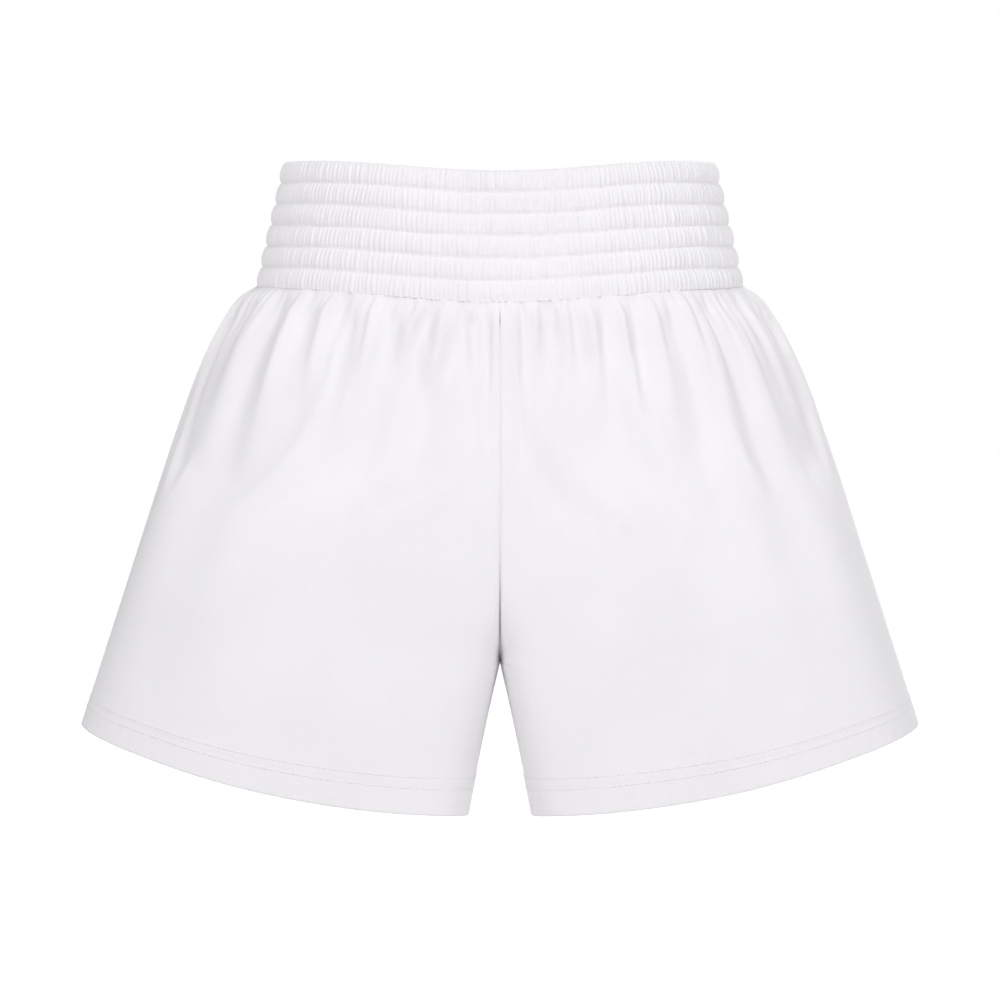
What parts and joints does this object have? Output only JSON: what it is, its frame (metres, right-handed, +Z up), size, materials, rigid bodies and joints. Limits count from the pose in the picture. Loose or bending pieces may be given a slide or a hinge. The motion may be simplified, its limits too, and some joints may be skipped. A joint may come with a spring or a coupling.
{
  "type": "boxing shorts",
  "caption": "Loose boxing shorts with a deep shirred elastic waistband, flared legs gathered under it, and twin-needle hems.",
  "frame": {"origin": "middle of the waist opening, level with the waistband's top edge at the hips", "axes": "+Z up out of the waist opening, -Y to the front of the wearer, +X to the wearer's left"},
  "size_m": [0.5088, 0.2364, 0.3947],
  "materials": {
    "shell_knit": "matte white polyester knit with a slight lilac cast",
    "facing_knit": "the same knit's reverse, with overlocked raw edges",
    "elastic_webbing": "woven white elastic webbing over rubber",
    "thread": "white polyester sewing thread with a slight sheen",
    "label_satin": "blank white satin label"
  },
  "bodies": {
    "root": {"waistband_front_casing": "shell_knit", "waistband_back_casing": "shell_knit", "left_front_panel": "shell_knit", "right_front_panel": "shell_knit", "left_back_panel": "shell_knit", "right_back_panel": "shell_knit", "left_hem_facing": "facing_knit", "right_hem_facing": "facing_knit", "waist_seam_allowance": "facing_knit", "rise_seam_allowance": "facing_knit", "left_side_seam_allowance": "facing_knit", "right_side_seam_allowance": "facing_knit", "left_inseam_allowance": "facing_knit", "right_inseam_allowance": "facing_knit", "elastic_1": "elastic_webbing", "elastic_2": "elastic_webbing", "elastic_3": "elastic_webbing", "elastic_4": "elastic_webbing", "elastic_5": "elastic_webbing", "elastic_6": "elastic_webbing", "channel_stitch_1": "thread", "channel_stitch_2": "thread", "channel_stitch_3": "thread", "channel_stitch_4": "thread", "channel_stitch_5": "thread", "left_hem_stitch_1": "thread", "left_hem_stitch_2": "thread", "right_hem_stitch_1": "thread", "right_hem_stitch_2": "thread", "waist_label": "label_satin", "care_label": "label_satin"}
  },
  "joints": []
}
